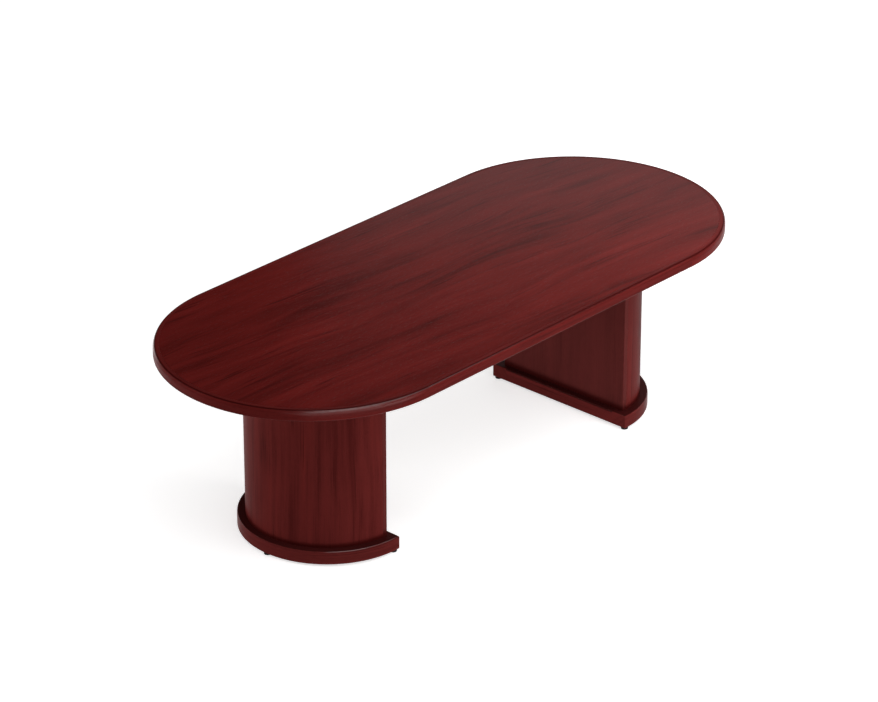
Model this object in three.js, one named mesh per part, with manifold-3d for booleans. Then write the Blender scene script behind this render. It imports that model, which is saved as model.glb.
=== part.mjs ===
// Racetrack conference table on two half-round drum bases.
// Millimetres, +Z up. X runs along the table and Y across it.
// The origin is on the floor, under the middle of the top.
import * as THREE from 'three';
import { mergeVertices } from 'three/addons/utils/BufferGeometryUtils.js';
import Module from 'manifold-3d';

const wasm = await Module();
wasm.setup();

// Overall size
const tableLength = 2500;
const tableWidth = 1100;
const tableHeight = 750;

// Top
const topThickness = 40;
const edgeWidth = 22;
const edgeRoundOver = 12;
const edgeLowerArris = 3;
const veneerThickness = 0.8;
const glueLine = 0.3;

// Drum of each base, about its own upright axis
const drumAxisX = 634;
const drumRadius = 292;
const drumFlatOffset = 7;
const shellThickness = 15;
const panelThickness = 19;
const plateThickness = 18;
const handHoleRadius = 95;
const handHoleOffset = 150;
const cornerBlockSize = 32;
const cornerBlockReach = 270;
const battenDepth = 28;
const battenWidth = 50;
const battenFace = 246;

// Plinth frame of each base
const plinthAxisX = 628;
const plinthRadius = 326;
const plinthFlatX = 614;
const plinthHeight = 50;
const plinthWidth = 64;
const plinthUpperRound = 5;
const plinthLowerArris = 2;

// Fixing of the top: hex flange bolts in threaded inserts, placed from the drum axis
const boltPlaces = [[80, -150], [80, 150], [200, -100], [200, 100]];
const boltRadius = 3;
const boltLength = 34;
const boltHoleRadius = 3.5;
const boltHexRadius = 5.8;
const boltHexHeight = 5;
const boltFlangeRadius = 7;
const boltFlangeHeight = 1.5;
const insertRadius = 5.5;
const insertBoreRadius = 3.3;
const insertLength = 17.7;
const insertClearance = 0.3;
const insertHoleDepth = 20;

// Levelling glides, with their places on the right base
const padRadius = 13.5;
const padHeight = 7.5;
const padEase = 1;
const padFloor = 2.5;
const padRecessRadius = 8;
const glideClearance = 9;
const collarRadius = 7;
const collarGap = 0.3;
const stemRadius = 4;
const stemTop = 44;
const stemHoleTop = 47;
const nutFlangeRadius = 10;
const nutFlangeThickness = 1.5;
const nutBarrelRadius = 5.5;
const nutBoreRadius = 4.2;
const nutTop = 24;
const glideCornerX = 630;
const glideCornerY = 311;
const glideEndX = 939;

// Fineness of the round parts
const endSegments = 36;
const ringSegments = 2 * endSegments;
const plateSegments = 18;
const roundSegments = 6;
const arrisSegments = 2;
const padSides = 16;
const smallSides = 12;
const hexSides = 6;

// Sizes worked out from those above
const topUnderside = tableHeight - topThickness;
const coreBottom = topUnderside + veneerThickness;
const coreTop = tableHeight - veneerThickness;
const plinthBottom = glideClearance;
const plinthTop = plinthBottom + plinthHeight;
const topPlateBottom = topUnderside - plateThickness;
const bottomPlateTop = plinthTop + plateThickness;
const straightLength = tableLength - tableWidth;
const panelBack = drumFlatOffset + panelThickness;
const plateRadius = drumRadius - shellThickness - glueLine;
const reach = tableLength;

function finish(color, roughness, metalness = 0) {
  return new THREE.MeshStandardMaterial({ color, roughness, metalness });
}

const finishes = {
  topVeneer: () => finish(0x62221f, 0.25),
  edgeWood: () => finish(0x681f1c, 0.28),
  drumVeneer: () => finish(0x4a1c1a, 0.35),
  plinthWood: () => finish(0x431716, 0.3),
  board: () => finish(0xa9885e, 0.85),
  backer: () => finish(0x5b3a28, 0.7),
  softwood: () => finish(0xc2a070, 0.8),
  zinc: () => finish(0x9a9c9e, 0.4, 1),
  nylon: () => finish(0x16161a, 0.55),
};

// Booleans: a closed geometry becomes a solid, and a solid a geometry again
function toSolid(geometry) {
  const bare = geometry.clone();
  bare.deleteAttribute('normal');
  bare.deleteAttribute('uv');
  const merged = mergeVertices(bare);
  return new wasm.Manifold(new wasm.Mesh({
    numProp: 3,
    vertProperties: new Float32Array(merged.attributes.position.array),
    triVerts: new Uint32Array(merged.index.array),
  }));
}

function toGeometry(solid) {
  const mesh = solid.getMesh();
  const geometry = new THREE.BufferGeometry();
  geometry.setAttribute('position', new THREE.BufferAttribute(new Float32Array(mesh.vertProperties), 3));
  geometry.setIndex(new THREE.BufferAttribute(new Uint32Array(mesh.triVerts), 1));
  return geometry;
}

function cut(geometry, ...tools) {
  return toGeometry(tools.reduce((solid, tool) => solid.subtract(toSolid(tool)), toSolid(geometry)));
}

function common(first, second) {
  return toGeometry(toSolid(first).intersect(toSolid(second)));
}

function joined(first, second) {
  return toGeometry(toSolid(first).add(toSolid(second)));
}

// Basic forms, all standing along Z
function block(xLow, xHigh, yLow, yHigh, zLow, zHigh) {
  const geometry = new THREE.BoxGeometry(xHigh - xLow, yHigh - yLow, zHigh - zLow);
  return geometry.translate((xLow + xHigh) / 2, (yLow + yHigh) / 2, (zLow + zHigh) / 2);
}

function rod(radius, zLow, zHigh, sides = smallSides) {
  const geometry = new THREE.CylinderGeometry(radius, radius, zHigh - zLow, sides);
  return geometry.rotateX(Math.PI / 2).translate(0, 0, (zLow + zHigh) / 2);
}

// A shape's arc gets two facets for each of its curve segments
function slab(shape, zLow, zHigh, facets = endSegments) {
  const settings = { depth: zHigh - zLow, bevelEnabled: false, curveSegments: facets / 2 };
  return new THREE.ExtrudeGeometry(shape, settings).translate(0, 0, zLow);
}

function turned(points, segments) {
  const profile = points.map(([radius, z]) => new THREE.Vector2(radius, z));
  return new THREE.LatheGeometry(profile, segments).rotateX(Math.PI / 2);
}

// Racetrack outline with half-circle ends
function racetrack(length, width) {
  const shape = new THREE.Shape();
  const radius = width / 2;
  const centre = (length - width) / 2;
  shape.absarc(centre, 0, radius, -Math.PI / 2, Math.PI / 2, false);
  shape.absarc(-centre, 0, radius, Math.PI / 2, 3 * Math.PI / 2, false);
  return shape;
}

// Half-round outline: a circle about the drum axis cut off at x = flat
function halfRound(radius, flat) {
  const shape = new THREE.Shape();
  const angle = Math.acos(flat / radius);
  shape.absarc(0, 0, radius, -angle, angle, false);
  return shape;
}

// Section of a moulding: rounded over above, eased below, square at its inner side
function mouldingSection(width, zLow, height, upperRadius, lowerRadius) {
  const points = [[0, zLow]];
  const addArc = (centreX, centreZ, radius, start, steps) => {
    for (let step = 0; step <= steps; step += 1) {
      const angle = start + (step / steps) * Math.PI / 2;
      points.push([centreX + radius * Math.cos(angle), centreZ + radius * Math.sin(angle)]);
    }
  };
  addArc(width - lowerRadius, zLow + lowerRadius, lowerRadius, -Math.PI / 2, arrisSegments);
  addArc(width - upperRadius, zLow + height - upperRadius, upperRadius, 0, roundSegments);
  points.push([0, zLow + height]);
  return points;
}

// A moulding bent to a full ring, its section set out from the inner radius
function ring(innerRadius, section) {
  const points = section.map(([x, z]) => [innerRadius + x, z]);
  return turned([...points, points[0]], ringSegments);
}

// A straight moulding along X, centred, its section set out along -Y from y = -inner
function straightMoulding(inner, section, length) {
  const shape = new THREE.Shape(section.map(([x, z]) => new THREE.Vector2(x, z)));
  const geometry = new THREE.ExtrudeGeometry(shape, { depth: length, bevelEnabled: false });
  const turn = new THREE.Matrix4().makeBasis(
    new THREE.Vector3(0, -1, 0),
    new THREE.Vector3(0, 0, 1),
    new THREE.Vector3(-1, 0, 0),
  );
  return geometry.applyMatrix4(turn).translate(length / 2, -inner, 0);
}

// What has to come off to ease the upper edge of a flat side that runs along Y at x = flat
function easingTool(flat, zTop, radius, halfLength) {
  const outside = radius;
  const shape = new THREE.Shape();
  shape.moveTo(flat - outside, zTop + outside);
  shape.lineTo(flat - outside, zTop - radius);
  shape.absarc(flat + radius, zTop - radius, radius, Math.PI, Math.PI / 2, true);
  shape.lineTo(flat + radius, zTop + outside);
  const geometry = slab(shape, -halfLength, halfLength, roundSegments);
  return geometry.rotateX(Math.PI / 2);
}

const table = new THREE.Group();

function addPiece(parent, name, geometry, material, x = 0, y = 0) {
  const mesh = new THREE.Mesh(geometry, material());
  mesh.name = name;
  mesh.position.set(x, y, 0);
  parent.add(mesh);
  return mesh;
}

const sides = [
  { name: 'left', sign: -1 },
  { name: 'right', sign: 1 },
];

// Places of the fixings in the top, in the table's frame
const topFixings = sides.flatMap(({ sign }) =>
  boltPlaces.map(([x, y]) => [sign * (drumAxisX + x), sign * y]));

// Top: core, face veneer, backer and the edge mouldings round them
function addTop() {
  const innerLength = tableLength - 2 * (edgeWidth + glueLine);
  const innerWidth = tableWidth - 2 * (edgeWidth + glueLine);
  const sockets = topFixings.map(([x, y]) =>
    rod(insertRadius + insertClearance, topPlateBottom, coreBottom + insertHoleDepth).translate(x, y, 0));
  const outline = racetrack(innerLength, innerWidth);
  const core = cut(slab(outline, coreBottom, coreTop), ...sockets);
  addPiece(table, 'top_core', core, finishes.board);
  addPiece(table, 'top_face_veneer', slab(outline, coreTop, tableHeight), finishes.topVeneer);
  const backer = cut(slab(outline, topUnderside, coreBottom), ...sockets);
  addPiece(table, 'top_backer', backer, finishes.backer);

  const section = mouldingSection(edgeWidth, topUnderside, topThickness, edgeRoundOver, edgeLowerArris);
  const innerRadius = tableWidth / 2 - edgeWidth;
  const straight = straightMoulding(innerRadius, section, straightLength);
  addPiece(table, 'edge_moulding_front', straight, finishes.edgeWood);
  addPiece(table, 'edge_moulding_back', straight, finishes.edgeWood).rotation.z = Math.PI;

  const half = block(0, reach, -reach, reach, 0, reach);
  const bend = common(ring(innerRadius, section), half);
  addPiece(table, 'edge_moulding_right_end', bend, finishes.edgeWood, straightLength / 2);
  addPiece(table, 'edge_moulding_left_end', bend, finishes.edgeWood, -straightLength / 2).rotation.z = Math.PI;
}

// Drum: shell, flat panel, plates and the blocks inside
function addDrum(base, side) {
  const shellShape = new THREE.Shape();
  const innerRadius = drumRadius - shellThickness;
  const outerAngle = Math.acos(panelBack / drumRadius);
  const innerAngle = Math.acos(panelBack / innerRadius);
  shellShape.absarc(0, 0, drumRadius, -outerAngle, outerAngle, false);
  shellShape.absarc(0, 0, innerRadius, innerAngle, -innerAngle, true);
  addPiece(base, `drum_shell_${side}`, slab(shellShape, plinthTop, topUnderside), finishes.drumVeneer);

  const panelShape = new THREE.Shape();
  const flatAngle = Math.acos(drumFlatOffset / drumRadius);
  panelShape.absarc(0, 0, drumRadius, -flatAngle, -outerAngle, false);
  panelShape.absarc(0, 0, drumRadius, outerAngle, flatAngle, false);
  const panel = slab(panelShape, plinthTop, topUnderside, arrisSegments);
  addPiece(base, `drum_flat_panel_${side}`, panel, finishes.drumVeneer);

  const plateShape = halfRound(plateRadius, panelBack);
  const boltHoles = boltPlaces.map(([x, y]) => rod(boltHoleRadius, 0, tableHeight).translate(x, y, 0));
  const topPlate = cut(slab(plateShape, topPlateBottom, topUnderside, plateSegments), ...boltHoles);
  addPiece(base, `drum_top_plate_${side}`, topPlate, finishes.board);

  const handHole = rod(handHoleRadius, 0, tableHeight, endSegments).translate(handHoleOffset, 0, 0);
  const bottomPlate = cut(slab(plateShape, plinthTop, bottomPlateTop, plateSegments), handHole);
  addPiece(base, `drum_bottom_plate_${side}`, bottomPlate, finishes.board);

  const blockFar = panelBack + cornerBlockSize;
  const blockNear = cornerBlockReach - cornerBlockSize;
  for (const end of ['front', 'back']) {
    const sign = (end === 'back' ? 1 : -1) * (side === 'left' ? -1 : 1);
    const yLow = sign > 0 ? blockNear : -cornerBlockReach;
    const post = block(panelBack, blockFar, yLow, yLow + cornerBlockSize, bottomPlateTop, topPlateBottom);
    addPiece(base, `corner_block_${side}_${end}`, post, finishes.softwood);
  }

  const batten = block(battenFace, battenFace + battenDepth, -battenWidth / 2, battenWidth / 2,
    bottomPlateTop, topPlateBottom);
  addPiece(base, `apex_batten_${side}`, batten, finishes.softwood);
}

// Fixings: a bolt up through the top plate into an insert in the core
function addFixings(base, side) {
  const flangeBottom = topPlateBottom - boltFlangeHeight;
  const hexBottom = flangeBottom - boltHexHeight;
  const head = joined(
    rod(boltHexRadius, hexBottom, topPlateBottom - boltFlangeHeight / 2, hexSides),
    rod(boltFlangeRadius, flangeBottom, topPlateBottom),
  );
  const bolt = joined(head, rod(boltRadius, flangeBottom, topPlateBottom + boltLength));
  const insertBottom = topUnderside + insertClearance;
  const insertTop = insertBottom + insertLength;
  const insert = turned([
    [insertBoreRadius, insertBottom],
    [insertRadius, insertBottom],
    [insertRadius, insertTop],
    [insertBoreRadius, insertTop],
    [insertBoreRadius, insertBottom],
  ], smallSides);
  boltPlaces.forEach(([x, y], index) => {
    addPiece(base, `fixing_bolt_${side}_${index + 1}`, bolt, finishes.zinc, x, y);
    addPiece(base, `bolt_insert_${side}_${index + 1}`, insert, finishes.zinc, x, y);
  });
}

// Places of the three glides of one base, from its drum axis
function glidePlaces(side) {
  const front = side === 'left' ? glideCornerY : -glideCornerY;
  return [
    { name: `${side}_front`, x: glideCornerX - drumAxisX, y: front },
    { name: `${side}_back`, x: glideCornerX - drumAxisX, y: -front },
    { name: `${side}_end`, x: glideEndX - drumAxisX, y: 0 },
  ];
}

// Plinth frame: a curved rim with sockets for the glides, and a rail between its ends
function addPlinth(base, side) {
  const axis = plinthAxisX - drumAxisX;
  const flat = plinthFlatX - drumAxisX;
  const innerRadius = plinthRadius - plinthWidth;
  const section = mouldingSection(plinthWidth, plinthBottom, plinthHeight, plinthUpperRound, plinthLowerArris);
  const wholeRing = ring(innerRadius, section).translate(axis, 0, 0);
  const kept = block(flat, reach, -reach, reach, 0, reach);
  const easing = easingTool(flat, plinthTop, plinthUpperRound, plinthRadius * 2);
  const sockets = glidePlaces(side).flatMap(({ x, y }) => [
    rod(nutFlangeRadius + glueLine, 0, plinthBottom + nutFlangeThickness + glueLine).translate(x, y, 0),
    rod(nutBarrelRadius + glueLine, 0, stemHoleTop).translate(x, y, 0),
  ]);
  const rim = cut(common(wholeRing, kept), easing, ...sockets);
  addPiece(base, `plinth_rim_${side}`, rim, finishes.plinthWood);

  const bar = block(flat, flat + plinthWidth, -innerRadius, innerRadius, plinthBottom, plinthTop);
  const inside = rod(innerRadius - glueLine, 0, tableHeight, ringSegments).translate(axis, 0, 0);
  const rail = cut(common(bar, inside), easing);
  addPiece(base, `plinth_rail_${side}`, rail, finishes.plinthWood);
}

// Levelling glides: T-nut in the rim, threaded stem with a hex collar, and foot pad
function addGlides(base, side) {
  const nutFlangeTop = plinthBottom + nutFlangeThickness;
  const nut = turned([
    [nutBoreRadius, plinthBottom],
    [nutFlangeRadius, plinthBottom],
    [nutFlangeRadius, nutFlangeTop],
    [nutBarrelRadius, nutFlangeTop],
    [nutBarrelRadius, nutTop],
    [nutBoreRadius, nutTop],
    [nutBoreRadius, plinthBottom],
  ], smallSides);
  const collarTop = plinthBottom - collarGap;
  const collar = rod(collarRadius, padFloor + collarGap, collarTop, hexSides);
  const stem = joined(collar, rod(stemRadius, padHeight, stemTop));
  const pad = turned([
    [0, 0],
    [padRadius - padEase, 0],
    [padRadius, padEase],
    [padRadius, padHeight - padEase],
    [padRadius - padEase, padHeight],
    [padRecessRadius, padHeight],
    [padRecessRadius, padFloor],
    [0, padFloor],
  ], padSides);
  for (const { name, x, y } of glidePlaces(side)) {
    addPiece(base, `glide_nut_${name}`, nut, finishes.zinc, x, y);
    addPiece(base, `glide_stem_${name}`, stem, finishes.zinc, x, y);
    addPiece(base, `glide_pad_${name}`, pad, finishes.nylon, x, y);
  }
}

addTop();
for (const { name, sign } of sides) {
  const base = new THREE.Group();
  base.position.x = sign * drumAxisX;
  base.rotation.z = sign < 0 ? Math.PI : 0;
  table.add(base);
  addDrum(base, name);
  addFixings(base, name);
  addPlinth(base, name);
  addGlides(base, name);
}

export default table;
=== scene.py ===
import math

import bmesh
import bpy
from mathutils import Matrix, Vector


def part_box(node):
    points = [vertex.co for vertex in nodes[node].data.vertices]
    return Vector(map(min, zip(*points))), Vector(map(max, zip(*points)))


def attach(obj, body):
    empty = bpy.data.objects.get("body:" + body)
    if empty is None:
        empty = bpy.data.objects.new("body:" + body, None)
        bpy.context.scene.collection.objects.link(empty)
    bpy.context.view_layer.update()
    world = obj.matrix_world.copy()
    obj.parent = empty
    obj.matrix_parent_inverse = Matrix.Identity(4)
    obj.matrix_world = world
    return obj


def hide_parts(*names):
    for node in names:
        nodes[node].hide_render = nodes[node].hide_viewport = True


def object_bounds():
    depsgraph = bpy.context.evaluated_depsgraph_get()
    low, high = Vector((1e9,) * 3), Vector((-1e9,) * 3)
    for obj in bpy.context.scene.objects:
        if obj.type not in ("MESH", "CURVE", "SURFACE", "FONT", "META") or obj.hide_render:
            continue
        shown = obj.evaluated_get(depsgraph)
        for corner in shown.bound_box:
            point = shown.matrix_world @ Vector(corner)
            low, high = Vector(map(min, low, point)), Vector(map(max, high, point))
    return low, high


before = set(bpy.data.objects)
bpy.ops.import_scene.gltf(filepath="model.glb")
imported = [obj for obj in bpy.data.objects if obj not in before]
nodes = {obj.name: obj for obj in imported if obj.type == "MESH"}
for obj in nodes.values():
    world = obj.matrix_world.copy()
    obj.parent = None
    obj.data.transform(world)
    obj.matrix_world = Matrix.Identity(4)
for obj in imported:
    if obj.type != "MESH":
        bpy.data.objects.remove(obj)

cadLow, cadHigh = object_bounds()
mm = 0.001
print("frame loaded,", len(nodes), "nodes")


# shader maths

class Wire:                                   # one output socket, sums on it add Math nodes
    def __init__(self, graph, socket):
        self.graph = graph
        self.socket = socket

    def __add__(self, other):
        return self.graph.maths("ADD", self, other)

    def __radd__(self, other):
        return self.graph.maths("ADD", other, self)

    def __sub__(self, other):
        return self.graph.maths("SUBTRACT", self, other)

    def __rsub__(self, other):
        return self.graph.maths("SUBTRACT", other, self)

    def __mul__(self, other):
        return self.graph.maths("MULTIPLY", self, other)

    def __rmul__(self, other):
        return self.graph.maths("MULTIPLY", other, self)

    def between(self, low, high):             # 0 below low, 1 above high, eased in between
        settings = {"interpolation_type": "SMOOTHSTEP"}
        return self.graph.node("ShaderNodeMapRange", settings, {0: self, 1: low, 2: high})


class Graph:
    def __init__(self, tree):
        self.tree = tree
        tree.nodes.clear()

    def node(self, kind, settings=None, sockets=None, output=0):
        made = self.tree.nodes.new(kind)
        for key, value in (settings or {}).items():
            setattr(made, key, value)
        for key, value in (sockets or {}).items():
            if isinstance(value, Wire):
                self.tree.links.new(value.socket, made.inputs[key])
            else:
                made.inputs[key].default_value = value
        if isinstance(output, tuple):
            return [Wire(self, made.outputs[each]) for each in output]
        return Wire(self, made.outputs[output]) if len(made.outputs) else None

    def maths(self, operation, first, second):
        return self.node("ShaderNodeMath", {"operation": operation}, {0: first, 1: second})

    def place(self, x, y, z):
        return self.node("ShaderNodeCombineXYZ", None, {0: x, 1: y, 2: z})

    def noise(self, spot, detail=2.0, rough=0.5):
        sockets = {"Vector": spot, "Scale": 1.0, "Detail": detail, "Roughness": rough}
        return self.node("ShaderNodeTexNoise", None, sockets)

    def mix(self, share, first, second):
        return self.node("ShaderNodeMix", {"data_type": "RGBA"}, {0: share, 6: first, 7: second}, 2)

    def bump(self, height, strength, distance):
        sockets = {"Strength": strength, "Distance": distance, "Height": height}
        return self.node("ShaderNodeBump", None, sockets)

    def surface(self, sockets):
        shader = self.node("ShaderNodeBsdfPrincipled", None, sockets)
        self.node("ShaderNodeOutputMaterial", None, {"Surface": shader})


def newFinish(name):
    material = bpy.data.materials.new(name)
    material.use_nodes = True
    return material, Graph(material.node_tree)


def tint(red, green, blue):
    return (red, green, blue, 1.0)


# figure of the wood: Run and pairs count repeats per metre along and across the grain, Rings repeats in
# a ring, Shift parts one noise from the next, Edge is where a figure starts and is full
figure = {
    "drift": (1.1, 2.5),
    "bandRun": 1.0,
    "streakRun": 1.8, "streakShift": 7.0,
    "lineRun": 4.0, "lineShift": 11.0, "lineEdge": (0.54, 0.70), "loneLines": 0.2,
    "flockRun": 2.6, "flockRings": 1.4, "flockShift": 23.0, "flockEdge": (0.46, 0.62),
    "mottle": (3.5, 9.0), "mottleShift": 3.0,
    "fibreRun": 16.0, "fibreShift": 13.0, "fibreGrit": 0.6, "fibreRough": 0.10, "fibreHeight": 0.4,
    "poreRun": 50.0, "poreShift": 19.0, "poreEdge": (0.57, 0.68), "poreRough": 0.08, "poreSink": 0.8,
    "scuff": (60.0, 90.0), "scuffEdge": (0.42, 0.75), "scuffRough": 0.06, "scuffDull": 0.35,
    "darkTones": (0.0, 0.55), "lightTones": (0.45, 1.0),
    "depth": 0.15 * mm,
}


# mahogany: grain is (along, across, piece) in metres, worn marks polished edges, paintedShade marks painted
# shade: dark bands for shade and dark reflection at edge rounds, plinth ledges and rails, and drum feet
def mahogany(name, look):
    material, graph = newFinish(name)
    spot = graph.node("ShaderNodeAttribute", {"attribute_name": "grain"}, None, "Vector")
    worn = graph.node("ShaderNodeAttribute", {"attribute_name": "worn"}, None, "Fac")
    paintedShade = graph.node("ShaderNodeAttribute", {"attribute_name": "paintedShade"}, None, "Fac")
    along, across, piece = graph.node("ShaderNodeSeparateXYZ", None, {0: spot}, (0, 1, 2))

    def sheetNoise(pace, shift=0.0, detail=2.0, rough=0.5):     # noise laid flat on the sheet
        return graph.noise(graph.place(along * pace[0], across * pace[1], piece + shift), detail, rough)

    drift = sheetNoise(figure["drift"])
    rings = look["bands"] * (across + look["skew"] * along) + look["wander"] * (drift - 0.5)

    def ringNoise(run, count, shift=0.0, detail=2.0):           # noise that follows the rings
        return graph.noise(graph.place(along * run, rings * count, piece + shift), detail)

    bands = ringNoise(figure["bandRun"], 1.0)
    streaks = ringNoise(figure["streakRun"], look["streaks"], figure["streakShift"], 3.0)
    dashes = ringNoise(figure["lineRun"], look["lines"], figure["lineShift"])
    flocks = ringNoise(figure["flockRun"], figure["flockRings"], figure["flockShift"], 1.0)
    mottle = sheetNoise(figure["mottle"], figure["mottleShift"])
    fibrePace = (figure["fibreRun"], look["fibres"])
    fibres = sheetNoise(fibrePace, figure["fibreShift"], 3.0, figure["fibreGrit"])
    flecks = sheetNoise((figure["poreRun"], look["pores"]), figure["poreShift"])
    flocked = (1.0 - figure["loneLines"]) * flocks.between(*figure["flockEdge"])
    lines = dashes.between(*figure["lineEdge"]) * (figure["loneLines"] + flocked)
    pores = flecks.between(*figure["poreEdge"])
    tone = 0.5 + look["bandDepth"] * (bands - 0.5) + look["mottleDepth"] * (mottle - 0.5)
    tone = tone + look["streakDepth"] * (streaks - 0.5) + look["fibreDepth"] * (fibres - 0.5)
    colour = graph.mix(tone.between(*figure["darkTones"]), look["dark"], look["mid"])
    colour = graph.mix(tone.between(*figure["lightTones"]), colour, look["light"])
    colour = graph.mix(lines * look["lineDepth"], colour, look["line"])
    colour = graph.mix(pores * look["poreDepth"], colour, look["line"])
    scuffs = sheetNoise(figure["scuff"], 0.0, 3.0).between(*figure["scuffEdge"])
    colour = graph.mix(worn * scuffs * look["wear"], colour, look["light"])
    # painted shade: darken towards the shade colour where the paintedShade attribute is set
    colour = graph.mix(paintedShade * look["paintedShadingDepth"], colour, look["paintedShading"])
    rough = look["rough"] + figure["fibreRough"] * (fibres - 0.5) + figure["poreRough"] * pores
    height = figure["fibreHeight"] * fibres - figure["poreSink"] * pores
    graph.surface({
        "Base Color": colour,
        "Roughness": rough + figure["scuffRough"] * worn * scuffs,
        "Specular IOR Level": look["shine"],
        "Coat Weight": worn * (1.0 - figure["scuffDull"] * scuffs) * look["polish"],
        "Coat Roughness": look["coatRough"],
        "Coat IOR": look["coatIor"],
        "Normal": graph.bump(height, look["relief"], figure["depth"]),
    })
    return material


topLook = {
    "dark": tint(0.056, 0.0054, 0.0046), "mid": tint(0.113, 0.0096, 0.0084),
    "light": tint(0.156, 0.0136, 0.0118), "line": tint(0.030, 0.0036, 0.0033),
    # colour and depth of the painted shade
    "paintedShading": tint(0.030, 0.0020, 0.0018), "paintedShadingDepth": 0.85,
    "rough": 0.21, "shine": 0.045, "polish": 1.0, "coatRough": 0.22, "coatIor": 1.65, "wear": 0.30,
    "relief": 0.25,
    "skew": 0.10, "bands": 9.0, "streaks": 3.6, "lines": 13.0, "wander": 1.6,
    "fibres": 420.0, "pores": 900.0, "bandDepth": 0.95, "streakDepth": 1.0, "mottleDepth": 0.5,
    "fibreDepth": 0.3, "lineDepth": 0.62, "poreDepth": 0.35,
}
edgeLook = dict(topLook, dark=tint(0.062, 0.0066, 0.0060), mid=tint(0.106, 0.0110, 0.0100),
                light=tint(0.144, 0.0144, 0.0132), shine=0.012, rough=0.30, skew=0.0, bands=26.0,
                wander=0.5)
drumLook = dict(topLook, dark=tint(0.070, 0.0084, 0.0076), mid=tint(0.115, 0.0152, 0.0138),
                light=tint(0.148, 0.0178, 0.0158), shine=0.012, rough=0.42, skew=0.0, bands=14.0,
                wander=0.7, bandDepth=1.1, streakDepth=1.0, lineDepth=0.60, poreDepth=0.25)
# painted reflection: the flat panel is the shell's veneer, given a browner, flatter copy of its colour for
# the grey reflection on its shaded side
panelPaintedSheenLook = dict(drumLook, dark=tint(0.068, 0.0124, 0.0114), mid=tint(0.112, 0.0206, 0.0190),
                 light=tint(0.136, 0.0240, 0.0220), bandDepth=0.6, streakDepth=0.4, lineDepth=0.25)
# plinth wood, with a deeper painted shade colour for its shaded ledge
plinthLook = dict(edgeLook, dark=tint(0.078, 0.0114, 0.0105), mid=tint(0.123, 0.0174, 0.0160),
                  light=tint(0.158, 0.0213, 0.0197), paintedShading=tint(0.030, 0.0048, 0.0046), paintedShadingDepth=0.90,
                  shine=0.008, coatRough=0.12, coatIor=1.75, bands=24.0)


boardLook = {"chips": 260.0, "dust": 900.0, "dustEdge": (0.55, 0.75), "dustHeight": 0.6,
             "brown": tint(0.30, 0.18, 0.075), "pale": tint(0.52, 0.35, 0.17),
             "speck": tint(0.17, 0.09, 0.035), "rough": 0.78, "roughSpread": 0.2, "relief": 0.5,
             "depth": 0.3 * mm}


def particleBoard(name, look):
    material, graph = newFinish(name)
    spot = graph.node("ShaderNodeTexCoord", None, None, "Object")
    chips = graph.node("ShaderNodeTexVoronoi", None, {"Vector": spot, "Scale": look["chips"]}, "Color")
    shade = graph.node("ShaderNodeSeparateXYZ", None, {0: chips})
    fine = graph.node("ShaderNodeVectorMath", {"operation": "SCALE"}, {0: spot, "Scale": look["dust"]})
    dust = graph.noise(fine, 4.0)
    colour = graph.mix(shade, look["brown"], look["pale"])
    colour = graph.mix(dust.between(*look["dustEdge"]), colour, look["speck"])
    height = shade + look["dustHeight"] * dust
    graph.surface({
        "Base Color": colour,
        "Roughness": look["rough"] + look["roughSpread"] * dust,
        "Normal": graph.bump(height, look["relief"], look["depth"]),
    })
    return material


def objectSpot(graph):                        # x, y and z of the piece itself, in metres
    spot = graph.node("ShaderNodeTexCoord", None, None, "Object")
    return graph.node("ShaderNodeSeparateXYZ", None, {0: spot}, (0, 1, 2))


# pairs: repeats per metre across the grain and along it
softwoodLook = {"rings": (190.0, 2.2), "ringEdge": (0.40, 0.62),
                "fibres": (1500.0, 22.0), "fibreEdge": (0.52, 0.8),
                "early": tint(0.62, 0.42, 0.21), "late": tint(0.44, 0.25, 0.10),
                "fibre": tint(0.34, 0.19, 0.08), "rough": 0.70, "roughSpread": 0.25, "relief": 0.5,
                "depth": 0.2 * mm}


def softwood(name, look):
    material, graph = newFinish(name)
    x, y, z = objectSpot(graph)
    across, along = look["rings"]
    rings = graph.noise(graph.place(x * across, y * across, z * along))
    across, along = look["fibres"]
    fibres = graph.noise(graph.place(x * across, y * across, z * along), 3.0)
    colour = graph.mix(rings.between(*look["ringEdge"]), look["early"], look["late"])
    colour = graph.mix(fibres.between(*look["fibreEdge"]), colour, look["fibre"])
    graph.surface({
        "Base Color": colour,
        "Roughness": look["rough"] + look["roughSpread"] * fibres,
        "Normal": graph.bump(fibres, look["relief"], look["depth"]),
    })
    return material


# pairs: repeats per metre along the sheet and across it
backerLook = {"strands": (40.0, 260.0), "strandEdge": (0.55, 0.75),
              "clouds": (5.0, 9.0), "cloudEdge": (0.35, 0.65),
              "dark": tint(0.075, 0.030, 0.015), "light": tint(0.115, 0.050, 0.026),
              "strand": tint(0.055, 0.021, 0.011), "rough": 0.60, "roughSpread": 0.2, "relief": 0.3,
              "depth": 0.15 * mm}


def backerSheet(name, look):
    material, graph = newFinish(name)
    x, y, z = objectSpot(graph)
    strands = graph.noise(graph.place(x * look["strands"][0], y * look["strands"][1], z), 4.0)
    clouds = graph.noise(graph.place(x * look["clouds"][0], y * look["clouds"][1], z), 3.0)
    colour = graph.mix(clouds.between(*look["cloudEdge"]), look["dark"], look["light"])
    colour = graph.mix(strands.between(*look["strandEdge"]), colour, look["strand"])
    graph.surface({
        "Base Color": colour,
        "Roughness": look["rough"] + look["roughSpread"] * strands,
        "Normal": graph.bump(strands, look["relief"], look["depth"]),
    })
    return material


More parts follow.
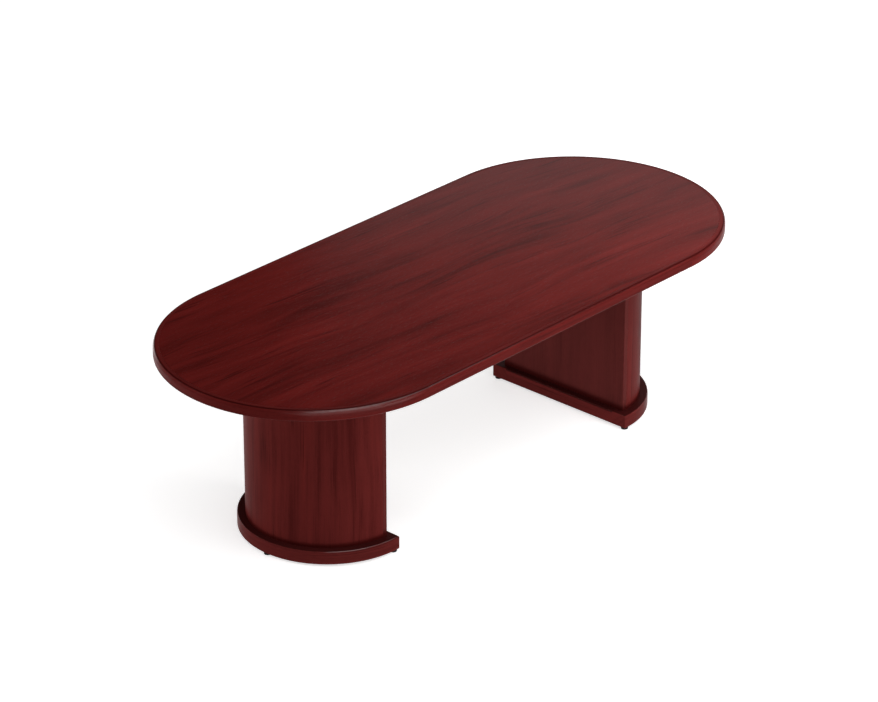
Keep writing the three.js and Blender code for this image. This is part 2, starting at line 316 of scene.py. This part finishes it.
# drawn: marks per metre round the rod and along it
zincLook = {"spangle": 700.0, "spangleEdge": (0.38, 0.62), "drawn": (240.0, 3600.0),
            "dull": tint(0.46, 0.46, 0.45), "bright": tint(0.62, 0.62, 0.61),
            "yellow": tint(0.50, 0.44, 0.30), "yellowEdge": (0.60, 0.72), "yellowDepth": 0.6,
            "rough": 0.28, "drawnRough": 0.22, "spangleRough": 0.1, "relief": 0.2, "depth": 0.05 * mm}


def zincPlate(name, look):
    material, graph = newFinish(name)
    x, y, z = objectSpot(graph)
    grain = look["spangle"]
    spangle = graph.noise(graph.place(x * grain, y * grain, z * grain))
    across, along = look["drawn"]
    drawn = graph.noise(graph.place(x * across, y * across, z * along))
    colour = graph.mix(spangle.between(*look["spangleEdge"]), look["dull"], look["bright"])
    yellowed = spangle.between(*look["yellowEdge"]) * look["yellowDepth"]
    colour = graph.mix(yellowed, colour, look["yellow"])
    graph.surface({
        "Base Color": colour,
        "Metallic": 1.0,
        "Roughness": look["rough"] + look["drawnRough"] * drawn + look["spangleRough"] * spangle,
        "Normal": graph.bump(drawn, look["relief"], look["depth"]),
    })
    return material


nylonLook = {"grit": 2600.0, "scuffs": (160.0, 90.0), "scuffEdge": (0.55, 0.75),
             "black": tint(0.0060, 0.0048, 0.0050), "scuff": tint(0.017, 0.014, 0.014),
             "rough": 0.42, "roughSpread": 0.25, "shine": 0.16, "relief": 0.25, "depth": 0.08 * mm}


def blackNylon(name, look):
    material, graph = newFinish(name)
    x, y, z = objectSpot(graph)
    grain = look["grit"]
    grit = graph.noise(graph.place(x * grain, y * grain, z * grain))
    across, along = look["scuffs"]
    scuffs = graph.noise(graph.place(x * across, y * across, z * along), 4.0)
    colour = graph.mix(scuffs.between(*look["scuffEdge"]), look["black"], look["scuff"])
    graph.surface({
        "Base Color": colour,
        "Roughness": look["rough"] + look["roughSpread"] * scuffs,
        "Specular IOR Level": look["shine"],
        "Normal": graph.bump(grit, look["relief"], look["depth"]),
    })
    return material


finishes = {
    "top_veneer": mahogany("topMahogany", topLook),
    "edge_wood": mahogany("edgeMahogany", edgeLook),
    "drum_veneer": mahogany("drumMahogany", drumLook),
    # the flat panel's copy of the drum veneer, with painted reflection
    "panel_painted_sheen": mahogany("panelPaintedSheenMahogany", panelPaintedSheenLook),
    "plinth_wood": mahogany("plinthMahogany", plinthLook),
    "core_board": particleBoard("particleBoard", boardLook),
    "backer": backerSheet("backerSheet", backerLook),
    "softwood": softwood("softwood", softwoodLook),
    "zinc": zincPlate("zincPlate", zincLook),
    "glide_nylon": blackNylon("blackNylon", nylonLook),
}
print("finishes made:", len(finishes))


# mesh making

def spread(start, end, steps):
    return [start + (end - start) * step / steps for step in range(steps + 1)]


def quarter(centreX, centreZ, radius, start, steps):
    turns = spread(start, start + math.pi / 2, steps)
    return [(centreX + radius * math.cos(turn), centreZ + radius * math.sin(turn)) for turn in turns]


class Skin:                                   # points with their grain, wear and glaze, and faces
    def __init__(self, piece):
        self.piece = piece
        self.points = []
        self.grain = []
        self.worn = []
        self.paintedShade = []
        self.faces = []

    def point(self, spot, along, across, worn=0.0, paintedShade=0.0):
        self.points.append(spot)
        self.grain += (along, across, self.piece)
        self.worn.append(worn)
        self.paintedShade.append(paintedShade)
        return len(self.points) - 1

    def band(self, low, high, closed=True):
        count = len(low)
        for each in range(count if closed else count - 1):
            after = (each + 1) % count
            self.faces.append((low[each], low[after], high[after], high[each]))

    def loft(self, rows, closed=True):
        for low, high in zip(rows, rows[1:]):
            self.band(low, high, closed)

    def fold(self, row):                      # closes a row with quads from its first to its last point
        count = len(row)
        for each in range(count // 2 - 1):
            self.faces.append((row[each], row[each + 1], row[count - 2 - each], row[count - 1 - each]))

    def cap(self, row):
        self.faces.append(tuple(row))


smoothing = {"crease": math.radians(35.0), "easeSegments": 2}


def addPiece(name, skin, slot, body, replaced, ease=0.0, finish=None):
    mesh = bpy.data.meshes.new(name)
    mesh.from_pydata(skin.points, [], skin.faces)
    mesh.attributes.new("grain", "FLOAT_VECTOR", "POINT").data.foreach_set("vector", skin.grain)
    mesh.attributes.new("worn", "FLOAT", "POINT").data.foreach_set("value", skin.worn)
    mesh.attributes.new("paintedShade", "FLOAT", "POINT").data.foreach_set("value", skin.paintedShade)
    shell = bmesh.new()
    shell.from_mesh(mesh)
    bmesh.ops.recalc_face_normals(shell, faces=shell.faces)
    shell.to_mesh(mesh)
    shell.free()
    mesh.shade_smooth()
    mesh.set_sharp_from_angle(angle=smoothing["crease"])
    mesh.materials.append(finishes[finish or slot])
    piece = bpy.data.objects.new(name, mesh)
    bpy.context.scene.collection.objects.link(piece)
    if ease:
        easing = piece.modifiers.new("easedEdges", "BEVEL")
        easing.width = ease
        easing.segments = smoothing["easeSegments"]
        easing.limit_method = "ANGLE"
        easing.angle_limit = smoothing["crease"]
    evened = piece.modifiers.new("evenNormals", "WEIGHTED_NORMAL")
    evened.keep_sharp = True
    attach(piece, body)
    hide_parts(replaced)


# top: veneer sheet, straight mouldings and bent end mouldings

# round: width and height of the upper round; flat: inset from it, painted shade and polish of each point
edge = {"round": (10 * mm, 18 * mm), "roundSteps": 18, "lowerArris": 3 * mm,
        "arrisSteps": 4, "arrisWear": 0.15, "arrisReach": 1.3, "shoulderShadeLift": 0.8, "bentPolish": 0.3,
        "flat": ((1.5 * mm, 0.05, 0.15), (11 * mm, 0.0, 0.15), (12 * mm, 0.0, 0.0)),
        "polish": {"from": 22.0, "ramp": 10.0, "wideFrom": -2.0, "wideRamp": 30.0,
                   "full": 40.0, "end": 53.0},
        # painted shade and dark reflection: a dark band from the start of the round down to lifts near 30
        # degrees
        "paintedShading": {"from": 30.0, "full": 45.0, "fading": 64.0, "end": 88.0, "kept": 0.15},
        "arcSteps": 96, "ease": 0.25 * mm, "straightSeed": 11.3, "bentSeed": 21.9}
veneer = {"arcSteps": 96, "ease": 0.15 * mm, "seed": 6.4}
# polish and painted shade of a rounded edge go by the lift of its surface in degrees, the shoulders by the
# turn
shoulders = {"centre": 60.0, "level": 18.0, "fade": 16.0}

frontLow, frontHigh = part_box("edge_moulding_front")
veneerLow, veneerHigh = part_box("top_face_veneer")
endCentre = frontHigh.x
endRadius = cadHigh.y
edgeWidth = frontHigh.y - frontLow.y
edgeInner = endRadius - edgeWidth
topZ = cadHigh.z


def ramp(value, low, high):
    return min(1.0, max(0.0, (value - low) / (high - low)))


def shoulderAt(turn):                         # 1 on the shoulders of a bent end, 0 at its seams and its tip
    away = abs(abs(math.degrees(turn)) - shoulders["centre"]) - shoulders["level"]
    return 1.0 - ramp(away, 0.0, shoulders["fade"])


def wornAt(polish, lift, wide):
    start = polish["from"] + wide * (polish["wideFrom"] - polish["from"])
    length = polish["ramp"] + wide * (polish["wideRamp"] - polish["ramp"])
    return ramp(lift, start, start + length) * (1.0 - ramp(lift, polish["full"], polish["end"]))


def paintedShadeAt(paintedShading, lift):
    fade = (1.0 - paintedShading["kept"]) * ramp(lift, paintedShading["fading"], paintedShading["end"])
    return ramp(lift, paintedShading["from"], paintedShading["full"]) * (1.0 - fade)


# points of a moulding's section from its lower inner corner: out, height, lift, worn, painted shade,
# distance run
def mouldingSection(look, width, low, high):
    arris = look["lowerArris"]
    wide, tall = look["round"]
    points = [(0.0, low, None, 0.0, 0.0)]
    for x, z in quarter(width - arris, low + arris, arris, -math.pi / 2, look["arrisSteps"]):
        points.append((x, z, None, look["arrisWear"], 0.0))
    points.append((width, low + look["arrisReach"] * arris, None, 0.0, 0.0))
    for lift in spread(0.0, 90.0, look["roundSteps"]):
        turn = math.atan2(tall * math.sin(math.radians(lift)), wide * math.cos(math.radians(lift)))
        x = width - wide + wide * math.cos(turn)
        z = high - tall + tall * math.sin(turn)
        points.append((x, z, lift, 0.0, paintedShadeAt(look["paintedShading"], lift)))
    points += [(width - wide - inset, high, None, worn, paintedShade) for inset, paintedShade, worn in look["flat"]]
    run = 0.0
    last = points[0]
    section = []
    for point in points:
        run += math.hypot(point[0] - last[0], point[1] - last[1])
        section.append((*point, run))
        last = point
    return section


def rubbed(look, lift, worn, wide=0.0):       # wear of a section point
    return worn if lift is None else wornAt(look["polish"], lift, wide)


edgeSection = mouldingSection(edge, edgeWidth, frontLow.z, frontHigh.z)


def addVeneer():
    skin = Skin(veneer["seed"])
    radius = veneerHigh.y
    rows = []
    for z, inset in ((veneerLow.z, 0.0), (topZ - veneer["ease"], 0.0), (topZ, veneer["ease"])):
        row = []
        for side in (1, -1):
            for turn in spread(-math.pi / 2, math.pi / 2, veneer["arcSteps"]):
                x = side * (endCentre + (radius - inset) * math.cos(turn))
                y = side * (radius - inset) * math.sin(turn)
                row.append(skin.point((x, y, z), x, y))
        rows.append(row)
    skin.loft(rows)
    skin.fold(rows[0])
    skin.fold(rows[-1])
    addPiece("topVeneer", skin, "top_veneer", "table", "top_face_veneer")


def addStraightEdge(name, side, replaced):
    skin = Skin(edge["straightSeed"] + side)
    rows = []
    for x in (-endCentre, endCentre):
        row = []
        for out, z, lift, worn, paintedShade, run in edgeSection:
            rub = rubbed(edge, lift, worn)
            row.append(skin.point((x, side * (edgeInner + out), z), x, run, rub, paintedShade))
        rows.append(row)
    skin.loft(rows)
    skin.cap(rows[0])
    skin.cap(rows[-1])
    addPiece(name, skin, "edge_wood", "table", replaced, edge["ease"])


def addBentEdge(name, side, replaced):
    skin = Skin(edge["bentSeed"] + side)
    rows = []
    for turn in spread(-math.pi / 2, math.pi / 2, edge["arcSteps"]):
        wide = shoulderAt(turn) if side < 0 else 0.0      # only the left end is rubbed by use
        row = []
        for out, z, lift, worn, paintedShade, run in edgeSection:
            radius = edgeInner + out
            x = side * (endCentre + radius * math.cos(turn))
            y = side * radius * math.sin(turn)
            rub = rubbed(edge, lift, worn, wide)
            rub *= edge["bentPolish"] + (1.0 - edge["bentPolish"]) * wide
            # painted shade lifted on the polished shoulders, so the highlight there reads red
            dark = paintedShade * (1.0 - edge["shoulderShadeLift"] * wide * rub)
            row.append(skin.point((x, y, z), turn * endRadius, run, rub, dark))
        rows.append(row)
    skin.loft(rows)
    skin.cap(rows[0])
    skin.cap(rows[-1])
    addPiece(name, skin, "edge_wood", "table", replaced, edge["ease"])


addVeneer()
addStraightEdge("edgeFront", -1, "edge_moulding_front")
addStraightEdge("edgeBack", 1, "edge_moulding_back")
addBentEdge("edgeLeftEnd", -1, "edge_moulding_left_end")
addBentEdge("edgeRightEnd", 1, "edge_moulding_right_end")
print("top made")


# drums: bent shell and flat panel of each base

# painted shade darkening the foot of each drum where it meets the plinth: height over the foot and strength
drum = {"arcSteps": 96, "panelArcSteps": 6, "shellThick": 15 * mm, "shellEase": 0.3 * mm,
        "panelEase": 0.8 * mm, "panelWrap": 3.0, "shellSeed": 31.1, "panelSeed": 41.6,
        "shellFootShade": ((0.0, 1.0), (8 * mm, 0.92), (13 * mm, 0.55), (19 * mm, 0.1), (26 * mm, 0.0)),
        "panelFootShade": ((0.0, 1.0), (12 * mm, 0.98), (17 * mm, 0.7), (25 * mm, 0.2), (34 * mm, 0.0))}
sides = {"left": -1, "right": 1}
seedStep = 5                                  # between the two bases

shellLow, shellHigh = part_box("drum_shell_right")
panelLow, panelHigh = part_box("drum_flat_panel_right")
shellDepth = shellHigh.x - shellLow.x
drumRadius = (shellDepth ** 2 + shellHigh.y ** 2) / (2 * shellDepth)
drumAxis = shellHigh.x - drumRadius
shellInner = drumRadius - drum["shellThick"]


def addShell(side, sign):
    skin = Skin(drum["shellSeed"] + seedStep * sign)
    corners = [(shellInner, shellLow.z, 0.0)]
    # rings of painted shade at the foot
    corners += [(drumRadius, shellLow.z + rise, paintedShade) for rise, paintedShade in drum["shellFootShade"]]
    corners += [(drumRadius, shellHigh.z, 0.0), (shellInner, shellHigh.z, 0.0)]
    rows = []
    for share in spread(-1.0, 1.0, drum["arcSteps"]):
        row = []
        for radius, z, paintedShade in corners:
            turn = share * math.acos((shellLow.x - drumAxis) / radius)
            x = sign * (drumAxis + radius * math.cos(turn))
            y = sign * radius * math.sin(turn)
            row.append(skin.point((x, y, z), z, turn * drumRadius, 0.0, paintedShade))
        rows.append(row)
    skin.loft(rows)
    skin.cap(rows[0])
    skin.cap(rows[-1])
    name = "drumShell" + side.title()
    addPiece(name, skin, "drum_veneer", "table", "drum_shell_" + side, drum["shellEase"])


def addPanel(side, sign):
    skin = Skin(drum["panelSeed"] + seedStep * sign)
    outline = []
    for x in spread(panelLow.x, panelHigh.x, drum["panelArcSteps"]):
        outline.append((x, math.sqrt(drumRadius ** 2 - (x - drumAxis) ** 2)))
    outline = outline + [(x, -y) for x, y in reversed(outline)]
    rows = []
    # levels of painted shade at the foot
    levels = [(panelLow.z + rise, paintedShade) for rise, paintedShade in drum["panelFootShade"]] + [(panelHigh.z, 0.0)]
    for z, paintedShade in levels:
        row = []
        for x, y in outline:
            across = y + drum["panelWrap"] * (x - panelLow.x)
            row.append(skin.point((sign * x, sign * y, z), z, across, 0.0, paintedShade))
        rows.append(row)
    skin.loft(rows)
    skin.fold(rows[0])
    skin.fold(rows[-1])
    name = "drumPanel" + side.title()
    replaced = "drum_flat_panel_" + side
    # finished with the drum veneer's painted-reflection copy
    addPiece(name, skin, "drum_veneer", "table", replaced, drum["panelEase"], "panel_painted_sheen")


for side, sign in sides.items():
    addShell(side, sign)
    addPanel(side, sign)
print("drums made")


# plinths: curved rim and straight rail of each base

# ledge and rounds carry painted shade where the table and drum shade them; railShade: lifts between which
# the rail's round is darkened by painted shade for the dark reflection of the table's underside, and its
# strength
plinth = {"round": (4 * mm, 7 * mm), "roundSteps": 15, "lowerArris": 2 * mm,
          "arrisSteps": 3, "arrisWear": 0.15, "arrisReach": 1.3, "flat": ((1.5 * mm, 1.0, 0.0),),
          "polish": {"from": 20.0, "ramp": 12.0, "wideFrom": 20.0, "wideRamp": 12.0,
                     "full": 56.0, "end": 68.0},
          "paintedShading": {"from": 44.0, "full": 66.0, "fading": 66.0, "end": 90.0, "kept": 1.0},
          "rimShade": 0.9, "railShade": (2.0, 10.0, 0.9), "hiddenInset": 2 * mm, "arcSteps": 112,
          "width": 64 * mm, "railSteps": 6, "railTaper": 0.25, "gap": 0.3 * mm, "ease": 0.6 * mm,
          "rimSeed": 53.3, "railSeed": 63.7}

rimLow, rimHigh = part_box("plinth_rim_right")
plinthRadius = rimHigh.y
plinthAxis = rimHigh.x - plinthRadius
plinthFlat = rimLow.x - plinthAxis
rimInner = plinthRadius - plinth["width"]
plinthLevels = mouldingSection(plinth, plinth["width"], rimLow.z, rimHigh.z)[1:]
ledge = plinthLevels[-1]                      # the level on the flat, drawn in on its hidden side too


def addRim(side, sign):
    skin = Skin(plinth["rimSeed"] + seedStep * sign)
    rows = []
    for level in plinthLevels:
        out, z, lift, worn, paintedShade, run = level
        inset = plinth["width"] - out
        outer = plinthRadius - inset
        inner = rimInner + (plinth["hiddenInset"] if level is ledge else 0.0)
        flat = plinthFlat + inset
        row = []
        for radius, ways, reach, shown in ((outer, (-1.0, 1.0), run, 1.0),
                                           (inner, (1.0, -1.0), run + plinth["width"], 0.0)):
            last = math.acos(flat / radius)
            for share in spread(*ways, plinth["arcSteps"]):
                turn = share * last
                x = sign * (plinthAxis + radius * math.cos(turn))
                y = sign * radius * math.sin(turn)
                rub = shown * rubbed(plinth, lift, worn)
                # painted shade on the ledge and the upper round, under the table
                dark = paintedShade * plinth["rimShade"]
                row.append(skin.point((x, y, z), turn * plinthRadius, reach, rub, dark))
        rows.append(row)
    skin.loft(rows)
    skin.fold(rows[0])
    skin.fold(rows[-1])
    addPiece("plinthRim" + side.title(), skin, "plinth_wood", "table", "plinth_rim_" + side, plinth["ease"])


def addRail(side, sign):
    skin = Skin(plinth["railSeed"] + seedStep * sign)
    rows = []
    for level in plinthLevels:
        out, z, lift, worn, paintedShade, run = level
        # painted shade on the rail's round, standing in for the dark reflection of the table's underside
        if lift is not None:
            start, full, strength = plinth["railShade"]
            paintedShade = max(paintedShade, strength * ramp(lift, start, full))
        hidden = plinth["hiddenInset"] if level is ledge else 0.0
        radius = rimInner - plinth["gap"] - plinth["railTaper"] * hidden
        front = plinthFlat + plinth["width"] - out
        back = plinthFlat + plinth["width"] - hidden
        half = []
        for x in spread(front, back, plinth["railSteps"]):
            half.append((x, math.sqrt(radius ** 2 - x ** 2)))
        row = []
        for x, y in half + [(x, -y) for x, y in reversed(half)]:
            spot = (sign * (plinthAxis + x), sign * y, z)
            rub = rubbed(plinth, lift, worn) if x == front else 0.0
            row.append(skin.point(spot, y, run + x - front, rub, paintedShade))
        rows.append(row)
    skin.loft(rows)
    skin.fold(rows[0])
    skin.fold(rows[-1])
    name = "plinthRail" + side.title()
    addPiece(name, skin, "plinth_wood", "table", "plinth_rail_" + side, plinth["gap"])


for side, sign in sides.items():
    addRim(side, sign)
    addRail(side, sign)
print("plinths made")


# glides: nylon pad, threaded stem with a hex collar, and T-nut

glide = {"padSides": 48, "padFillet": 1.4 * mm, "filletSteps": 5, "recess": 8 * mm, "recessFloor": 2.5 * mm,
         "lip": 0.4 * mm,
         "stemRadius": 3.95 * mm, "pitch": 1.25 * mm, "threadDepth": 0.7 * mm, "threadSides": 32,
         "ringsPerPitch": 8, "crestSlope": 1.25, "crestFlat": 0.12, "threadSink": 0.1 * mm,
         "tip": 1.2 * mm, "tipTaper": 0.8 * mm,
         "hexRadius": 7 * mm, "hexChamfer": 0.7 * mm, "collarTop": 8.7 * mm, "collarLow": 2.8 * mm,
         "hexSides": 60, "nutFlange": 10 * mm, "nutFlangeTop": 10.5 * mm, "nutBarrel": 5.5 * mm,
         "nutBore": 4.2 * mm, "nutSides": 40}


def turnedSkin(skin, centre, profile, sidesCount):
    turns = [2 * math.pi * each / sidesCount for each in range(sidesCount)]
    rows = []
    for radius, z in profile:
        row = []
        for turn in turns:
            spot = (centre.x + radius * math.cos(turn), centre.y + radius * math.sin(turn), z)
            row.append(skin.point(spot, z, turn * radius))
        rows.append(row)
    skin.loft(rows)
    return rows


def addPad(where, centre):
    low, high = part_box("glide_pad_" + where)
    radius = (high.x - low.x) / 2
    fillet = glide["padFillet"]
    profile = quarter(radius - fillet, low.z + fillet, fillet, -math.pi / 2, glide["filletSteps"])
    profile += quarter(radius - fillet, high.z - fillet, fillet, 0.0, glide["filletSteps"])
    recess = glide["recess"]
    lip = glide["lip"]
    profile += [(recess + lip, high.z), (recess, high.z - lip), (recess, glide["recessFloor"])]
    skin = Skin(0.0)
    rows = turnedSkin(skin, centre, profile, glide["padSides"])
    skin.cap(rows[0])
    skin.cap(rows[-1])
    addPiece("glidePad_" + where, skin, "glide_nylon", "glide_pad_" + where, "glide_pad_" + where)


def hexReach(turn, cone):                     # hex outline kept inside a cone
    sector = math.pi / 3
    flat = glide["hexRadius"] * math.cos(sector / 2)
    return min(flat / math.cos((turn % sector) - sector / 2), cone)


def threadReach(turn, z):                     # 60 degree thread seen as a height over the rod
    phase = (z / glide["pitch"] - turn / (2 * math.pi)) % 1.0
    depth = ramp(abs(2 * phase - 1) * glide["crestSlope"] - glide["crestFlat"], 0.0, 1.0)
    return glide["stemRadius"] - glide["threadDepth"] * depth


def addStem(where, centre):
    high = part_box("glide_stem_" + where)[1]
    skin = Skin(0.0)
    cone = glide["hexRadius"]
    chamfer = glide["hexChamfer"]
    rows = []
    for z, reach in ((glide["collarLow"], cone - 2 * chamfer), (glide["collarLow"] + chamfer, cone),
                     (glide["collarTop"] - chamfer, cone), (glide["collarTop"], cone - 2 * chamfer)):
        row = []
        for each in range(glide["hexSides"]):
            turn = 2 * math.pi * each / glide["hexSides"]
            radius = hexReach(turn, reach)
            spot = (centre.x + radius * math.cos(turn), centre.y + radius * math.sin(turn), z)
            row.append(skin.point(spot, z, turn * radius))
        rows.append(row)
    skin.loft(rows)
    skin.cap(rows[0])
    skin.cap(rows[-1])
    rings = round((high.z - glide["collarTop"]) / glide["pitch"] * glide["ringsPerPitch"])
    rows = []
    for z in spread(glide["collarTop"] - glide["threadSink"], high.z, rings):
        tip = max(0.0, 1 - (high.z - z) / glide["tip"])
        row = []
        for each in range(glide["threadSides"]):
            turn = 2 * math.pi * each / glide["threadSides"]
            radius = min(threadReach(turn, z), glide["stemRadius"] - glide["tipTaper"] * tip)
            spot = (centre.x + radius * math.cos(turn), centre.y + radius * math.sin(turn), z)
            row.append(skin.point(spot, z, turn * radius))
        rows.append(row)
    skin.loft(rows)
    skin.cap(rows[0])
    skin.cap(rows[-1])
    addPiece("glideStem_" + where, skin, "zinc", "glide_stem_" + where, "glide_stem_" + where)


def addNut(where, centre):
    low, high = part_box("glide_nut_" + where)
    rim = glide["lip"]
    flange = glide["nutFlange"]
    flangeTop = glide["nutFlangeTop"]
    barrel = glide["nutBarrel"]
    bore = glide["nutBore"]
    profile = [(bore, low.z), (flange - rim, low.z), (flange, low.z + rim), (flange, flangeTop - rim),
               (flange - rim, flangeTop), (barrel + rim, flangeTop), (barrel, flangeTop + rim),
               (barrel, high.z), (bore, high.z)]
    skin = Skin(0.0)
    rows = turnedSkin(skin, centre, profile, glide["nutSides"])
    skin.band(rows[-1], rows[0])
    addPiece("glideNut_" + where, skin, "zinc", "table", "glide_nut_" + where)


for side in sides:
    for corner in ("front", "back", "end"):
        where = side + "_" + corner
        low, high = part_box("glide_pad_" + where)
        centre = (low + high) / 2
        addPad(where, centre)
        addStem(where, centre)
        addNut(where, centre)
print("glides made")


# pieces carried over from the frame

carried = {"top_core": "core_board", "top_backer": "backer", "drum_top_plate": "core_board",
           "drum_bottom_plate": "core_board", "corner_block": "softwood", "apex_batten": "softwood",
           "fixing_bolt": "zinc", "bolt_insert": "zinc"}

for name, node in nodes.items():
    for start, slot in carried.items():
        if name.startswith(start):
            for place in node.material_slots:
                place.material = finishes[slot]
print("carried over pieces finished")


# stage: white floor that keeps a soft shadow, dim studio world, lights and camera

floor = {"size": 240.0, "drop": 0.2 * mm, "glowNear": 0.58, "glowFar": 1.0, "near": 1.5, "far": 3.2,
         "shade": 0.92, "bounce": 0.75}


def grey(level):
    return tint(level, level, level)


def addFloor():
    half = floor["size"] / 2
    mesh = bpy.data.meshes.new("studioFloor")
    corners = [(-half, -half, 0), (half, -half, 0), (half, half, 0), (-half, half, 0)]
    mesh.from_pydata(corners, [], [(0, 1, 2, 3)])
    sheet = bpy.data.objects.new("studioFloor", mesh)
    sheet.location.z = cadLow.z - floor["drop"]
    bpy.context.scene.collection.objects.link(sheet)
    material, graph = newFinish("studioWhite")
    spot = graph.node("ShaderNodeTexCoord", None, None, "Object")
    away = graph.node("ShaderNodeVectorMath", {"operation": "LENGTH"}, {0: spot}, "Value")
    reach = away.between(floor["near"], floor["far"])
    glow = graph.mix(reach, grey(floor["glowNear"]), grey(floor["glowFar"]))
    paths = ("Is Camera Ray", "Is Glossy Ray", "Is Transmission Ray")
    camera, glossy, through = graph.node("ShaderNodeLightPath", None, None, paths)
    kept = graph.node("ShaderNodeBsdfDiffuse", None, {"Color": grey(floor["shade"])})
    lit = graph.node("ShaderNodeEmission", None, {"Color": glow, "Strength": 1.0})
    seen = graph.node("ShaderNodeAddShader", None, {0: kept, 1: lit})
    pale = graph.node("ShaderNodeBsdfDiffuse", None, {"Color": grey(floor["bounce"])})
    both = graph.node("ShaderNodeMixShader", None, {0: camera + glossy + through, 1: pale, 2: seen})
    graph.node("ShaderNodeOutputMaterial", None, {"Surface": both})
    mesh.materials.append(material)


studio = {"horizon": 0.30, "ceiling": 0.016, "low": 0.0, "high": 0.2}


def addWorld():
    world = bpy.data.worlds.new("studioWorld")
    world.use_nodes = True
    bpy.context.scene.world = world
    graph = Graph(world.node_tree)
    way = graph.node("ShaderNodeTexCoord", None, None, "Generated")
    rise = graph.node("ShaderNodeSeparateXYZ", None, {0: way}, "Z")
    share = rise.between(studio["low"], studio["high"])
    level = graph.mix(share, grey(studio["horizon"]), grey(studio["ceiling"]))
    sky = graph.node("ShaderNodeBackground", None, {"Color": level, "Strength": 1.0})
    graph.node("ShaderNodeOutputWorld", None, {"Surface": sky})


lamps = {                                     # mirrored lamps show in the polish, the others only light
    "frontBox": {"place": (-0.3, -2.2, 3.0), "aim": (-0.3, -0.3, 0.75), "size": (4.6, 2.0), "power": 46.0,
                 "mirrored": True},
    "lowFrontBox": {"place": (-2.1, -2.9, 1.7), "aim": (-1.0, -0.3, 0.7), "size": (3.0, 1.4), "power": 18.5,
                    "mirrored": True},
    "backPanel": {"place": (3.5, 2.0, 1.36), "aim": (0.6, 0.0, 0.75), "size": (3.0, 2.0), "power": 18.6,
                  "mirrored": True},
    "overTop": {"place": (0.2, 0.55, 2.6), "aim": (0.15, 0.25, 0.75), "size": (1.4, 1.4), "power": 13.0,
                "mirrored": False},
    "rightTop": {"place": (0.95, -0.95, 1.85), "aim": (0.6, -0.4, 0.75), "size": (0.9, 0.9), "power": 13.5,
                 "mirrored": False},
    "frontFill": {"place": (0.3, -4.2, 1.2), "aim": (0.0, 0.0, 0.5), "size": (2.4, 1.4), "power": 72.0,
                  "mirrored": False},
    "rightFill": {"place": (4.0, -1.2, 1.0), "aim": (0.9, -0.2, 0.4), "size": (1.2, 1.2), "power": 30.0,
                  "mirrored": False},
    "leftFill": {"place": (-3.0, 2.4, 1.2), "aim": (-0.6, 0.0, 0.5), "size": (2.0, 1.4), "power": 68.0,
                 "mirrored": False},
}


def addLamp(name, lamp):
    data = bpy.data.lights.new(name, "AREA")
    data.shape = "RECTANGLE"
    data.size, data.size_y = lamp["size"]
    data.energy = lamp["power"]
    light = bpy.data.objects.new(name, data)
    light.visible_glossy = lamp["mirrored"]
    place = Vector(lamp["place"])
    light.location = place
    light.rotation_mode = "QUATERNION"
    light.rotation_quaternion = (Vector(lamp["aim"]) - place).to_track_quat("-Z", "Y")
    bpy.context.scene.collection.objects.link(light)


shot = {"azimuth": -47.72, "elevation": 26.26, "focal": 3950.0, "width": 878, "distance": 14.0843,
        "right": -0.0337, "up": -0.2729, "sensor": 36.0, "clip": 200.0}


def addCamera():
    turn = math.radians(shot["azimuth"])
    lift = math.radians(shot["elevation"])
    back = Vector((math.sin(turn) * math.cos(lift), -math.cos(turn) * math.cos(lift), math.sin(lift)))
    right = Vector((math.cos(turn), math.sin(turn), 0.0))
    up = back.cross(right)
    data = bpy.data.cameras.new("photoCamera")
    data.sensor_width = shot["sensor"]
    data.lens = shot["focal"] / shot["width"] * shot["sensor"]
    data.clip_end = shot["clip"]
    camera = bpy.data.objects.new("photoCamera", data)
    target = Vector((0.0, 0.0, topZ))
    camera.location = target + back * shot["distance"] + right * shot["right"] + up * shot["up"]
    camera.rotation_mode = "QUATERNION"
    camera.rotation_quaternion = (-back).to_track_quat("-Z", "Y")
    bpy.context.scene.collection.objects.link(camera)
    bpy.context.scene.camera = camera


addFloor()
addWorld()
for name, lamp in lamps.items():
    addLamp(name, lamp)
addCamera()
bpy.context.scene.view_settings.view_transform = "Standard"
print("stage made")
